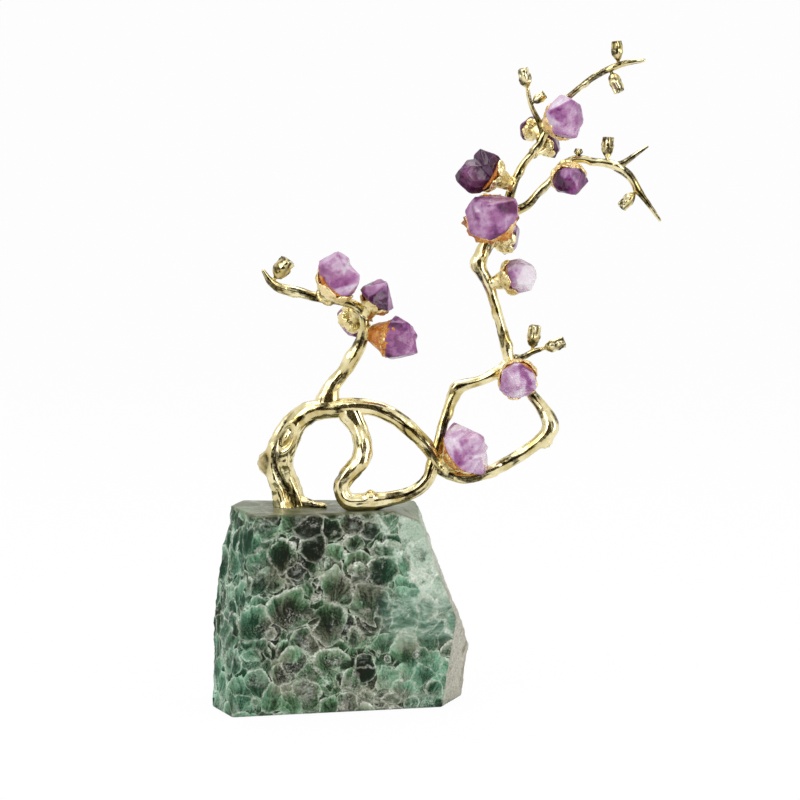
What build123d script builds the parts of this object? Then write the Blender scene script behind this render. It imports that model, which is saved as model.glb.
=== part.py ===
from build123d import *

import os
from bisect import bisect_left
from dataclasses import dataclass, field
from math import cos, radians, sin

# A gemstone blossom tree: cast brass branches with amethyst blossoms, pegged into a block of green stone.
# Millimetres, +Z up. The origin is the middle of the stone's underside. The polished face looks along -Y.
# Heights in the branch tables are measured from the stone's top, so the tree stands on any stone.

# Stone block
BASE_HEIGHT = 90.0
BASE_LEFT = 58.0  # origin to the left end at the foot
BASE_RIGHT = 58.0  # origin to the right end at its widest
BASE_BACK = 26.0  # origin to the sawn back
BASE_FRONT = 14.0  # origin to the polished face's foot, along that face's normal
FACE_YAW = 14.0  # degrees that the polished face turns away at its right end
BASE_EDGE = 1.2  # polished edges

# Brass branches: nominal radii, which each branch's points swell or thin
TRUNK_RADIUS = 6.0
LIMB_RADIUS = 2.7
TWIG_RADIUS = 1.8
REST_FLAT = 0.5  # depth ground off a branch where it lies on the stone

# Brazed spigots that join branch to branch
SPIGOT_SEAT = 0.5  # a side socket's floor, as a share of the parent's radius from its centre
SPIGOT_SHARE = 0.55  # an end spigot's radius as a share of the branch's
SPIGOT_LENGTH = 3.5
JOINT_GAP = 0.05  # radial room for filler

# Anchors in the stone
STUD_RADIUS = 2.5
STUD_IN_STONE = 22.0
STUD_IN_TRUNK = 12.0
PIN_RADIUS = 1.25
PIN_IN_STONE = 10.0
PIN_IN_LIMB = 3.5
PIN_SHARE = 0.55  # where the pin meets the S-shaped limb, as a share of its length

# Blossom cups
CUP_WALL = 0.9
CUP_STALK_SHARE = 0.28  # stalk radius over stone radius
CUP_PEG_RADIUS = 0.7
CUP_PEG_LENGTH = 1.2
CUP_SEAT_SINK = 0.5  # how far the flat seat is sunk into the branch
CUP_RIM_SHARE = 1.02  # rim radius over stone radius
CUP_DEPTH_SHARE = 0.72  # bowl depth over stone radius
CUP_RISE_SHARE = 0.5  # how far the stone's middle stands above the rim, over stone radius
CRYSTAL_ROOT_SHARE = 0.25  # how far below the rim the crystals spread from, over stone radius
PETALS = 5
PETAL_GAP_SHARE = 0.3  # notch radius over rim radius
RESIN_FLOOR = 0.8  # resin under the stone
RIM_CLEARANCE = 0.2  # stone over rim
CRYSTAL_SIDES = 6
CRYSTAL_FOOT = 0.7  # foot radius over shoulder radius
CRYSTAL_SHOULDER = 0.62  # shoulder height over length

# Buds
BUD_PEG_RADIUS = 0.45
BUD_PEG_LENGTH = 0.9
BUD_STALK_RADIUS = 0.75
BUD_SEAT_SINK = 0.3
BUD_NECK_SHARE = 0.1  # straight stalk over the bud's length
BUD_MOUTH_SHARE = 0.86  # blunt top's radius over the belly's

SECTIONS_PER_SPAN = 2


def above(x, y, height):
    """A point of the tree, from its height over the stone's top."""
    return Vector(x, y, BASE_HEIGHT + height)


def lying(x, y, radius, swell, lift=0.0):
    """A branch's point where it lies on the stone, or a lift above that."""
    return x, y, radius * swell - REST_FLAT + lift, swell


def rod(start, direction, radius, length):
    """A round bar from a point along a direction."""
    bar = Cylinder(radius, length, align=(Align.CENTER, Align.CENTER, Align.MIN))
    return Plane(start, z_dir=direction) * bar


def far():
    """A length well beyond the whole ornament, for cuts."""
    return 8 * (BASE_LEFT + BASE_RIGHT + BASE_HEIGHT)


def under_stone_top():
    """Everything lower than the stone's top, for grinding a foot flat."""
    return Pos(0, 0, BASE_HEIGHT) * Box(far(), far(), far(), align=(Align.CENTER, Align.CENTER, Align.MAX))


@dataclass
class Limb:
    """A cast branch that swells and tapers along a smooth centre line.

    points are (x, y, height over the stone, swell). root and tip are (other limb, share of its length):
    a side joint where the share is under 1, and a butt joint with an inner spigot where it is 1.
    """

    radius: float
    points: list
    root: tuple = None
    tip: tuple = None
    cuts: list = field(default_factory=list)

    def __post_init__(self):
        places = [above(*p[:3]) for p in self.points]
        self.radii = [self.radius * p[3] for p in self.points]
        self.side_rooted = self.root is not None and self.root[1] < 1
        if self.root and not self.side_rooted:
            parent = self.root[0]
            places.insert(0, parent.at(1))
            self.radii.insert(0, parent.radii[-1])
        self.marks = [0.0]
        for a, b in zip(places, places[1:]):
            self.marks.append(self.marks[-1] + (b - a).length)
        end = self.tip_point() - places[-1] if self.tip else places[-1] - places[-2]
        self.path = Spline(*places, tangents=(self.start_direction(places), end.normalized()))

    def start_direction(self, places):
        """The way the centre line leaves its root: up from the stone, or out of the parent branch."""
        if not self.root:
            return Vector(0, 0, 1)
        parent, share = self.root
        if self.side_rooted:
            return (places[0] - parent.at(share)).normalized()
        return parent.along(1)

    def tip_point(self):
        return self.tip[0].at(self.tip[1])

    def at(self, share):
        return self.path @ share

    def along(self, share):
        return self.path % share

    def radius_at(self, share):
        """The radius at a share of the length, straight between the points."""
        run = share * self.marks[-1]
        k = min(max(bisect_left(self.marks, run), 1), len(self.marks) - 1)
        part = (run - self.marks[k - 1]) / (self.marks[k] - self.marks[k - 1])
        return self.radii[k - 1] + part * (self.radii[k] - self.radii[k - 1])

    def body(self):
        """The branch's skin, lofted through circles on a steady X axis."""
        count = SECTIONS_PER_SPAN * (len(self.marks) - 1)
        sections = []
        for i in range(count + 1):
            share = i / count
            place = Plane(self.at(share), x_dir=(0, 1, 0), z_dir=self.along(share))
            sections.append(place * Circle(self.radius_at(share)))
        return loft(sections)

    def spigots(self):
        """This branch's spigots, each with the branch that it goes into."""
        found = []
        if self.side_rooted:
            found.append(side_spigot(self.root, self.at(0), self.radii[0]))
        elif self.root:
            found.append(end_spigot(self.root[0]))
        if self.tip:
            found.append(side_spigot(self.tip, self.at(1), self.radii[-1]))
        return found


def side_spigot(joint, start, radius):
    """A branch's end in another's side: (host, floor point, direction out, radius, length)."""
    host, share = joint
    middle = host.at(share)
    outward = (start - middle).normalized()
    floor = SPIGOT_SEAT * host.radius_at(share)
    return host, middle + outward * floor, outward, radius, (start - middle).length - floor


def end_spigot(host):
    """A butt joint's inner spigot, in the host's end face."""
    outward = host.along(1)
    return host, host.at(1) - outward * SPIGOT_LENGTH, outward, SPIGOT_SHARE * host.radii[-1], SPIGOT_LENGTH


def make_limb(limb):
    """The branch with its own spigots. It also cuts its sockets into the branches that hold it."""
    solid = limb.body()
    for host, floor, outward, radius, length in limb.spigots():
        solid += rod(floor, outward, radius, length)
        host.cuts.append(rod(floor, outward, radius + JOINT_GAP, length + 2 * radius))
    return solid


# Branches, from the foot up
trunk_arch = Limb(TRUNK_RADIUS, [
    (-22, 7, -4, 1.08), (-22.5, 7, 1, 1.08), (-25, 7, 10, 1.0), (-27.5, 6, 19.5, 1.06), (-25, 5, 28.5, 1.0),
    (-20.5, 4, 37, 0.93), (-12.5, 3, 43, 0.79), (-3.5, 2, 44.5, 0.74), (5.5, 1, 45.5, 0.67),
    (16, 0, 44.5, 0.58), (26.5, -1, 39.5, 0.59), (35, -2, 32, 0.56), (41.5, -3, 24, 0.53),
    (46, -3.5, 17.5, 0.48), (51, -4, 15, 0.45)])
root_spur = Limb(TWIG_RADIUS, [
    lying(-15, 3.5, TWIG_RADIUS, 1.1), lying(-11, 2, TWIG_RADIUS, 0.9), lying(-6, 0.5, TWIG_RADIUS, 0.6)],
    root=(trunk_arch, 0.042))
s_limb = Limb(LIMB_RADIUS, [
    (7.5, -1, 37.5, 1.3), (10, -4, 29.5, 1.5), (9, -6, 22.5, 1.6), (4, -7, 16.5, 1.45),
    (0.5, -7.5, 10.5, 1.4), lying(2.5, -7.5, LIMB_RADIUS, 1.4, 1.6), lying(9, -7, LIMB_RADIUS, 1.45),
    lying(14.5, -6.5, LIMB_RADIUS, 1.5, 0.2), (22.5, -6, 5, 1.15), (32, -5, 7.7, 1.05),
    (37, -4.5, 11.2, 1.0), (40, -4, 15.5, 0.92)], root=(trunk_arch, 0.536), tip=(trunk_arch, 0.91))
loop_sweep = Limb(LIMB_RADIUS, [
    (57.5, -4.5, 14.5, 1.0), (67.5, -5, 17.5, 0.96), (78, -5, 23, 1.0), (87.5, -4, 29.5, 1.05),
    (93.5, -3, 37, 1.4), (91.5, -1, 42.5, 1.16), (88, 1, 47.5, 0.93), (83.5, 2, 53, 0.86)],
    root=(trunk_arch, 1))
upper_limb = Limb(LIMB_RADIUS, [
    (77.5, 3, 60.5, 0.96), (74, 3, 72, 0.92), (70.5, 2, 85.5, 0.83), (68, 2, 94, 0.86), (65, 2, 102, 0.94),
    (62, 2, 108.5, 1.22), (64, 3, 115.5, 1.22), (69, 4, 123.5, 1.07), (73.5, 5, 131.5, 1.0),
    (75, 5, 137.5, 0.83)], root=(loop_sweep, 1))
loop_riser = Limb(LIMB_RADIUS, [
    (44, -2, 29, 0.84), (45.5, 0, 36, 0.86), (48, 1, 43.5, 0.86), (50.5, 2, 50, 1.05), (53.5, 2, 54, 1.02),
    (59, 2, 56, 0.86), (66, 2, 58.5, 0.86), (71, 2.5, 61, 0.8)], root=(trunk_arch, 0.905),
    tip=(upper_limb, 0.14))
loop_spur = Limb(TWIG_RADIUS, [
    (80.5, 4.5, 67, 0.75), (85.5, 4, 69.5, 0.7), (90, 3.5, 71, 0.55)], root=(upper_limb, 0.17))
top_twig = Limb(TWIG_RADIUS, [
    (77, 5, 144, 1.04), (83, 6, 155, 0.89), (87, 6, 159.5, 0.92), (90, 6, 165, 0.97), (92.5, 6, 171, 0.89),
    (96.5, 5, 177.5, 0.79), (105.5, 3, 186.5, 0.72), (115.5, 1, 193.5, 0.77), (121, 0, 196, 0.84),
    (125, -1, 197.5, 0.74), (134.5, -4, 199, 0.4)], root=(upper_limb, 1))
side_twig = Limb(TWIG_RADIUS, [
    (88.5, 5.5, 171, 0.7), (84.5, 4, 179.5, 0.6), (83, 3, 186, 0.5)], root=(top_twig, 0.36))
right_twig = Limb(TWIG_RADIUS, [
    (81.5, 4, 134, 1.1), (87.5, 3, 140, 0.97), (93.5, 2, 146, 0.89), (99.5, 1, 153, 0.99),
    (105.5, 0, 155.5, 0.99), (112, -1, 154.5, 0.89), (119, -2, 153.5, 1.04), (123.5, -2, 151.5, 1.19),
    (128.5, -3, 147.5, 1.09), (131.5, -4, 142.5, 0.99), (135, -5, 137.5, 0.69),
    (141.5, -7, 128.5, 0.34)], root=(upper_limb, 0.915))
right_spur = Limb(TWIG_RADIUS, [
    (127, -2.5, 155, 0.68), (129, -3, 156.5, 0.64), (136, -4, 161.5, 0.34)], root=(right_twig, 0.62))
left_branch = Limb(LIMB_RADIUS, [
    (-4.5, 3, 52, 1.3), (1, 3, 60, 1.16), (6.5, 2, 68.5, 1.19), (10, 2, 76, 1.02), (11, 1, 82.5, 0.87),
    (9.5, 1, 88, 0.87), (3.5, 0, 92, 0.78), (-4.5, 0, 93.5, 0.76), (-12.5, -1, 95, 0.76),
    (-19.5, -1, 97, 0.87), (-26, -2, 98.5, 0.86), (-31, -3, 102, 0.63), (-34, -4, 107, 0.28)],
    root=(trunk_arch, 0.459))

LIMBS = {
    "trunk_arch": trunk_arch, "root_spur": root_spur, "s_limb": s_limb, "loop_sweep": loop_sweep,
    "upper_limb": upper_limb, "loop_riser": loop_riser, "loop_spur": loop_spur, "top_twig": top_twig,
    "side_twig": side_twig, "right_twig": right_twig, "right_spur": right_spur, "left_branch": left_branch}
GROUND_FLAT = ("trunk_arch", "root_spur", "s_limb")


@dataclass
class Blossom:
    """An amethyst cluster in a cup on a branch.

    reach goes from the branch's centre line to the stone's middle. crystals are (lean, radius, length):
    the lean is added to the cup's unit axis, and the others are over the stone's radius.
    """

    limb: Limb
    share: float
    reach: tuple
    stone: float
    crystals: list

    def __post_init__(self):
        reach = Vector(*self.reach)
        self.middle = self.limb.at(self.share)
        self.axis = reach.normalized()
        self.frame = Plane(self.middle, x_dir=self.axis.cross(Vector(0, 1, 0.2)), z_dir=self.axis)
        self.seat = self.limb.radius_at(self.share) - CUP_SEAT_SINK
        self.rim = reach.length - CUP_RISE_SHARE * self.stone
        self.rim_radius = CUP_RIM_SHARE * self.stone
        self.stalk = CUP_STALK_SHARE * self.stone
        self.bowl = self.rim - CUP_DEPTH_SHARE * self.stone
        self.floor = self.bowl + CUP_WALL

    def seat_cut(self):
        """The flat seat and peg hole in the branch."""
        seat = rod(self.middle + self.axis * self.seat, self.axis, self.stalk + JOINT_GAP, self.rim)
        hole_start = self.middle + self.axis * (self.seat - CUP_PEG_LENGTH)
        return seat + rod(hole_start, self.axis, CUP_PEG_RADIUS + JOINT_GAP, CUP_PEG_LENGTH + self.stalk)

    def bowl_arc(self, start, radius, low):
        """A quarter ellipse in the cup's section, from its bottom out to the rim."""
        middle = (start, self.rim)
        return EllipticalCenterArc(middle, radius - start, self.rim - low, start_angle=270, arc_size=90)

    def cavity(self):
        """The room inside the cup, up to the rim."""
        inside = self.rim_radius - CUP_WALL
        outline = [
            self.bowl_arc(0, inside, self.floor),
            Polyline((inside, self.rim), (0, self.rim), (0, self.floor))]
        return revolve(Plane.XZ * make_face(outline), Axis.Z)

    def cup(self):
        """The petalled cup with its stalk and peg, about its own axis."""
        inside = self.rim_radius - CUP_WALL
        peg_end = self.seat - CUP_PEG_LENGTH
        outline = [
            Polyline((0, self.floor), (0, peg_end), (CUP_PEG_RADIUS, peg_end), (CUP_PEG_RADIUS, self.seat),
                     (self.stalk, self.seat), (self.stalk, self.bowl)),
            self.bowl_arc(self.stalk, self.rim_radius, self.bowl),
            Line((self.rim_radius, self.rim), (inside, self.rim)),
            self.bowl_arc(0, inside, self.floor)]
        notch = rod((0, 0, self.rim), (1, 0, 0), PETAL_GAP_SHARE * self.rim_radius, 2 * self.rim_radius)
        turns = [360 / PETALS * (k + 0.5) for k in range(PETALS)]
        return revolve(Plane.XZ * make_face(outline), Axis.Z) - [Rot(0, 0, turn) * notch for turn in turns]

    def root(self):
        """The stone's ground root, which fits the cavity with resin all round."""
        low = self.floor + RESIN_FLOOR
        depth = self.rim - self.floor
        inside = self.rim_radius - CUP_WALL
        foot = 0.8 * inside * (1 - (1 - RESIN_FLOOR / depth) ** 2) ** 0.5
        height = self.rim + RIM_CLEARANCE - low
        taper = Cone(foot, 0.85 * inside, height, align=(Align.CENTER, Align.CENTER, Align.MIN))
        return Pos(0, 0, low) * taper

    def gem(self):
        """The cluster: crystals that spread from within the cup, over the root."""
        start = self.middle + self.axis * (self.rim - CRYSTAL_ROOT_SHARE * self.stone)
        crown = None
        for lean, radius, length in self.crystals:
            way = (self.axis + Vector(*lean)).normalized()
            one = Plane(start, z_dir=way) * crystal(radius * self.stone, length * self.stone)
            crown = one if crown is None else crown + one
        reach = 4 * self.stone
        below = Pos(0, 0, self.rim + RIM_CLEARANCE) * Box(
            reach, reach, reach, align=(Align.CENTER, Align.CENTER, Align.MAX))
        return (crown - self.placed(below)) + self.placed(self.root())

    def resin(self):
        return self.cavity() - self.root()

    def placed(self, solid):
        return self.frame * solid


def crystal(radius, length):
    """A six-sided point: a foot, a wider shoulder and a tip a little off the axis."""
    def ring(size, height):
        steps = [360 / CRYSTAL_SIDES * k for k in range(CRYSTAL_SIDES)]
        return [Vector(size * cos(radians(a)), size * sin(radians(a)), height) for a in steps]

    foot = ring(CRYSTAL_FOOT * radius, 0)
    shoulder = ring(radius, CRYSTAL_SHOULDER * length)
    tip = Vector(0.12 * radius, 0.08 * radius, length)
    outlines = [list(reversed(foot))]
    for k in range(CRYSTAL_SIDES):
        n = (k + 1) % CRYSTAL_SIDES
        outlines.append([foot[k], foot[n], shoulder[n], shoulder[k]])
        outlines.append([shoulder[k], shoulder[n], tip])
    faces = [Face(Wire.make_polygon(points, close=True)) for points in outlines]
    return Solid(Shell(faces))


BLOSSOMS = {
    "left_front": Blossom(left_branch, 0.65, (9, -11.5, 12.2), 9.8, [
        ((0.18, 0, -0.3), 0.82, 1.5), ((-0.48, 0, 0.55), 0.6, 1.55)]),
    "left_upper": Blossom(left_branch, 0.41, (8, -4, 12.3), 7.6, [
        ((0, -0.2, 0), 0.92, 1.6), ((-0.35, 0, 0.3), 0.5, 1.5)]),
    "left_lower": Blossom(left_branch, 0.345, (18.5, -4.5, -4), 9.0, [
        ((0.1, -0.1, -0.45), 0.72, 1.6), ((-0.1, -0.1, 0.45), 0.66, 1.5)]),
    "left_rear": Blossom(left_branch, 0.45, (-5, 11.5, -6), 7.0, [
        ((0, 0, 0), 0.88, 1.5), ((-0.5, 0, 0.2), 0.5, 1.35)]),
    "loop_low": Blossom(trunk_arch, 0.948, (14, -9, 12), 10.0, [
        ((0, -0.2, 0), 0.95, 1.55), ((0.45, 0, -0.3), 0.6, 1.4)]),
    "loop_high": Blossom(upper_limb, 0.1, (1.8, -15.5, -2.5), 8.8, [
        ((0, 0, 0), 0.92, 1.5), ((0.4, 0, -0.2), 0.55, 1.4)]),
    "stem_side": Blossom(upper_limb, 0.55, (15.5, -4, 4.5), 7.9, [
        ((0, -0.1, 0), 0.82, 1.7), ((0.1, 0, 0.45), 0.5, 1.4)]),
    "stem_rear": Blossom(upper_limb, 0.78, (10.6, 10, 0.8), 7.0, [
        ((0, 0, 0.2), 0.8, 1.5), ((-0.2, 0, -0.5), 0.5, 1.4)]),
    "stem_front": Blossom(upper_limb, 0.83, (-3, -16.5, 10.6), 11.0, [
        ((0, 0, -0.1), 0.95, 1.5), ((-0.4, 0, -0.25), 0.6, 1.4)]),
    "fork_left": Blossom(top_twig, 0.07, (-16, -6, 8.3), 9.0, [
        ((-0.05, 0, -0.4), 0.72, 1.75), ((0.3, -0.2, 0.4), 0.66, 1.4)]),
    "crown_front": Blossom(top_twig, 0.4, (9.2, -14, 4.7), 8.8, [
        ((0, 0, 0.3), 0.78, 1.5), ((0.1, 0, -0.4), 0.74, 1.45)]),
    "crown_rear_left": Blossom(top_twig, 0.335, (-5.5, 12, 5.4), 5.3, [
        ((0, 0, 0), 0.85, 1.5), ((-0.5, 0, -0.1), 0.5, 1.4)]),
    "crown_rear_low": Blossom(top_twig, 0.25, (9.5, 8, 4.5), 5.3, [
        ((0, 0, 0), 0.85, 1.5), ((0.1, 0, -0.5), 0.5, 1.4)]),
    "right_hanging": Blossom(right_twig, 0.33, (1.5, -9.5, -9.2), 7.7, [
        ((0.15, 0, 0), 0.88, 1.5), ((-0.4, 0, 0), 0.6, 1.4)]),
}


@dataclass
class Bud:
    """A bud pegged on a twig: a stalk, a barrel belly and a blunt top. At share 1 it is on the twig's end."""

    limb: Limb
    share: float
    direction: tuple
    length: float
    radius: float

    def __post_init__(self):
        self.middle = self.limb.at(self.share)
        if self.share == 1:
            self.axis = self.limb.along(1)
            self.seat = 0
        else:
            self.axis = Vector(*self.direction).normalized()
            self.seat = max(self.limb.radius_at(self.share) - BUD_SEAT_SINK, 0)

    def seat_cut(self):
        seat_start = self.middle + self.axis * self.seat
        seat = rod(seat_start, self.axis, BUD_STALK_RADIUS + JOINT_GAP, self.length)
        hole_start = seat_start - self.axis * BUD_PEG_LENGTH
        hole = rod(hole_start, self.axis, BUD_PEG_RADIUS + JOINT_GAP, BUD_PEG_LENGTH + BUD_STALK_RADIUS)
        return seat + hole

    def solid(self):
        low = self.seat
        peg_end = low - BUD_PEG_LENGTH
        neck = low + BUD_NECK_SHARE * self.length
        top = low + self.length
        mouth = BUD_MOUTH_SHARE * self.radius
        outline = [
            Polyline((0, top), (0, peg_end), (BUD_PEG_RADIUS, peg_end), (BUD_PEG_RADIUS, low),
                     (BUD_STALK_RADIUS, low), (BUD_STALK_RADIUS, neck)),
            Spline((BUD_STALK_RADIUS, neck), (self.radius, (neck + top) / 2), (mouth, top)),
            Line((mouth, top), (0, top))]
        body = revolve(Plane.XZ * make_face(outline), Axis.Z)
        return Plane(self.middle, z_dir=self.axis) * body


BUDS = {
    "left_bud": [Bud(left_branch, 0.92, (0.6, -0.1, 0.8), 10.5, 3.3)],
    "loop_buds": [Bud(loop_spur, 0.55, (0.1, -0.1, 1), 10.5, 2.6), Bud(loop_spur, 1, None, 10, 2.4)],
    "side_twig_buds": [Bud(side_twig, 1, None, 9, 2.4), Bud(side_twig, 0.6, (1, 0, 0.7), 6.5, 1.9)],
    "top_twig_buds": [
        Bud(top_twig, 0.865, (-0.1, 0, 1), 9, 2.2), Bud(top_twig, 0.82, (0.4, -0.2, -1), 9.5, 2.4)],
    "right_twig_buds": [
        Bud(right_twig, 0.56, (0.05, 0, 1), 9.5, 2.4), Bud(right_twig, 0.79, (-0.8, -0.2, -0.8), 9, 2.2),
        Bud(right_twig, 0.4, (0.1, 0, 1), 3, 1.6)],
}


def saw_cut(point, normal):
    """What a flat saw cut takes away: the far side of a plane through a point."""
    waste = Box(far(), far(), far(), align=(Align.CENTER, Align.CENTER, Align.MIN))
    return Plane(point, z_dir=normal) * waste


def facing(turn, tilt):
    """A direction: turn in plan from +X towards +Y, then tilt up, in degrees."""
    level = cos(radians(tilt))
    return Vector(cos(radians(turn)) * level, sin(radians(turn)) * level, sin(radians(tilt)))


def make_stone():
    """The block, sawn face by face from a rough one that is long and deep enough, with its edges eased."""
    rough = 2 * (BASE_LEFT + BASE_RIGHT)
    stone = Box(rough, rough, BASE_HEIGHT, align=(Align.MIN, Align.CENTER, Align.MIN))
    stone = Pos(-BASE_LEFT, 0, 0) * stone
    widest = 0.3 * BASE_HEIGHT
    cuts = [
        (facing(FACE_YAW - 90, 0) * BASE_FRONT, facing(FACE_YAW - 90, -1.5)),
        (Vector(0, BASE_BACK, 0), facing(90, 0)),
        (Vector(-BASE_LEFT, -2, 0), facing(202, 6.6)),
        (Vector(-BASE_LEFT, 0, 0.4 * BASE_HEIGHT), facing(180, 7)),
        (Vector(8.5 - BASE_LEFT, 8.5, BASE_HEIGHT), facing(166, 10)),
        (Vector(BASE_RIGHT, 0, widest), facing(0, 21)),
        (Vector(BASE_RIGHT, 20, widest), facing(-19, -8.5)),
        (Vector(BASE_RIGHT - 32, 0, BASE_HEIGHT), facing(-15, 66)),
    ]
    for point, normal in cuts:
        stone -= saw_cut(point, normal)
    return fillet(stone.edges(), BASE_EDGE)


def anchors():
    """The stud under the trunk and the pin under the S-shaped limb, as (foot, radius, depth, rise)."""
    foot = trunk_arch.at(0)
    contact = s_limb.at(PIN_SHARE)
    foot.Z = contact.Z = BASE_HEIGHT
    return {
        "anchor_stud": (foot, STUD_RADIUS, STUD_IN_STONE, STUD_IN_TRUNK),
        "anchor_pin": (contact, PIN_RADIUS, PIN_IN_STONE, PIN_IN_LIMB)}


def upright(foot, radius, depth, rise):
    """A bar that goes down into the stone and up into the brass."""
    return rod(foot - Vector(0, 0, depth), (0, 0, 1), radius, depth + rise)


def main():
    os.makedirs("parts", exist_ok=True)
    nodes = {}
    for name, limb in LIMBS.items():
        nodes[name] = make_limb(limb)
    for name, blossom in BLOSSOMS.items():
        blossom.limb.cuts.append(blossom.seat_cut())
        nodes["cup_" + name] = blossom.placed(blossom.cup())
        nodes["amethyst_" + name] = blossom.gem()
    nodes["resin_beds"] = Compound([blossom.placed(blossom.resin()) for blossom in BLOSSOMS.values()])
    for name, buds in BUDS.items():
        for bud in buds:
            bud.limb.cuts.append(bud.seat_cut())
        nodes[name] = Compound([bud.solid() for bud in buds])
    for name, limb in LIMBS.items():
        nodes[name] -= limb.cuts
        if name in GROUND_FLAT:
            nodes[name] -= under_stone_top()
    nodes["stone_base"] = make_stone()
    for (name, (foot, radius, depth, rise)), holder in zip(anchors().items(), ("trunk_arch", "s_limb")):
        nodes[name] = upright(foot, radius, depth, rise)
        hole = upright(foot, radius + JOINT_GAP, depth, rise)
        nodes["stone_base"] -= hole
        nodes[holder] -= hole
    for name, solid in nodes.items():
        export_step(solid, f"parts/{name}.step")


main()
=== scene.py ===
import math

import bmesh
import bpy
import numpy as np
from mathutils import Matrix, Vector


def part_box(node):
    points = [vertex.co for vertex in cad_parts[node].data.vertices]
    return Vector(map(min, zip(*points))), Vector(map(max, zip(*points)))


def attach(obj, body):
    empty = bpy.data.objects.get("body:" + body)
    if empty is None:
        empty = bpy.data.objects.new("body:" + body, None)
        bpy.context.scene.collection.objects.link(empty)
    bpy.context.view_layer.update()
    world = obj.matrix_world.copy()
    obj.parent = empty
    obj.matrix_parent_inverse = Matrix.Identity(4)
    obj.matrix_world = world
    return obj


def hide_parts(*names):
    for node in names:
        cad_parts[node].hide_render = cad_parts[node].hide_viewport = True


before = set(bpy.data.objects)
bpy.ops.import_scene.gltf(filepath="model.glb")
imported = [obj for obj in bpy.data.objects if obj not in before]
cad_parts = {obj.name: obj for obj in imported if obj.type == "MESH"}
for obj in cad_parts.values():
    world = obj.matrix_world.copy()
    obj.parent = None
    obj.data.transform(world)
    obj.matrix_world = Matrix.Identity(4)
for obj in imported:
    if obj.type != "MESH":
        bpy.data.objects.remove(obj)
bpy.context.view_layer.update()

MM = 0.001
STONE_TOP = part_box("stone_base")[1].z
rng = np.random.default_rng(11)


# Noise and small vector helpers

TABLE = 256  # directions that the noise draws from
SEED_STEP = 37  # keeps the patterns of different seeds apart
GRADIENTS = rng.normal(size=(TABLE, 3))
GRADIENTS /= np.linalg.norm(GRADIENTS, axis=1)[:, None]
SHUFFLE = rng.permutation(TABLE)


def noise(points, size, seed=0):
    """Smooth gradient noise, about -1 to 1, over cells of a size."""
    scaled = np.asarray(points) / size
    cell = np.floor(scaled).astype(int)
    part = scaled - cell
    fade = part**3 * (part * (part * 6 - 15) + 10)
    total = np.zeros(len(scaled))
    for corner in np.ndindex(2, 2, 2):
        far = np.array(corner)
        spot = cell + far
        pick = SHUFFLE[(spot[:, 0] + seed * SEED_STEP) % TABLE]
        pick = SHUFFLE[(pick + spot[:, 1]) % TABLE]
        pick = SHUFFLE[(pick + spot[:, 2]) % TABLE]
        weight = np.prod(np.where(far == 1, fade, 1 - fade), axis=1)
        total += weight * np.sum(GRADIENTS[pick] * (part - far), axis=1)
    return total * 1.6


def unit(vector):
    return np.asarray(vector, float) / np.linalg.norm(vector)


def across(direction):
    """Two directions square to one: the first as near as can be to the viewer."""
    direction = unit(direction)
    viewer = np.array((0.0, -1.0, 0.0))
    front = viewer - direction * np.dot(viewer, direction)
    if np.linalg.norm(front) < 0.05:
        front = np.cross(direction, (1.0, 0.0, 0.0))
    front = unit(front)
    return front, np.cross(direction, front)


# Meshes

def add_mesh(name, points, faces, smooth=True):
    mesh = bpy.data.meshes.new(name)
    mesh.from_pydata([tuple(p) for p in points], [], faces)
    mesh.validate()
    tidy = bmesh.new()
    tidy.from_mesh(mesh)
    bmesh.ops.recalc_face_normals(tidy, faces=tidy.faces)
    tidy.to_mesh(mesh)
    tidy.free()
    mesh.polygons.foreach_set("use_smooth", [smooth] * len(mesh.polygons))
    made = bpy.data.objects.new(name, mesh)
    bpy.context.scene.collection.objects.link(made)
    return made


def ring_faces(rings, sides, first=0):
    """Quads between rings of points, with a flat cap at either end."""
    faces = []
    for i in range(rings - 1):
        low = first + i * sides
        for k in range(sides):
            n = (k + 1) % sides
            faces.append((low + k, low + n, low + sides + n, low + sides + k))
    faces.append(tuple(first + k for k in reversed(range(sides))))
    faces.append(tuple(first + (rings - 1) * sides + k for k in range(sides)))
    return faces


def remeshed(source, voxel):
    """The one closed skin round everything in a mesh object, which it replaces."""
    change = source.modifiers.new("skin", "REMESH")
    change.mode = "VOXEL"
    change.voxel_size = voxel
    graph = bpy.context.evaluated_depsgraph_get()
    mesh = bpy.data.meshes.new_from_object(source.evaluated_get(graph))
    source.modifiers.clear()
    old = source.data
    source.data = mesh
    bpy.data.meshes.remove(old)
    mesh.polygons.foreach_set("use_smooth", [True] * len(mesh.polygons))
    return source


def points_of(piece):
    found = np.empty(len(piece.data.vertices) * 3)
    piece.data.vertices.foreach_get("co", found)
    return found.reshape(-1, 3)


def normals_of(piece):
    found = np.empty(len(piece.data.vertices) * 3)
    piece.data.vertex_normals.foreach_get("vector", found)
    return found.reshape(-1, 3)


def eased(piece, values, times):
    """Values of a mesh's points, each drawn a few times halfway to the mean of its neighbours'."""
    ends = np.empty(len(piece.data.edges) * 2, int)
    piece.data.edges.foreach_get("vertices", ends)
    here = np.concatenate((ends[0::2], ends[1::2]))
    there = np.concatenate((ends[1::2], ends[0::2]))
    count = np.maximum(np.bincount(here, minlength=len(values)), 1)
    for _ in range(times):
        values = (values + np.bincount(here, values[there], len(values)) / count) / 2
    return values


def move_points(piece, points):
    piece.data.vertices.foreach_set("co", np.asarray(points).ravel())
    piece.data.update()


def paint_points(piece, name, values):
    """A number per point, for the material to read."""
    layer = piece.data.attributes.new(name, "FLOAT", "POINT")
    layer.data.foreach_set("value", np.asarray(values, float))


def finish_piece(piece, slot, material, *nodes):
    piece.data.materials.clear()
    piece.data.materials.append(material)
    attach(piece, "root")
    if nodes:
        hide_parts(*nodes)


# Materials

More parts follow.
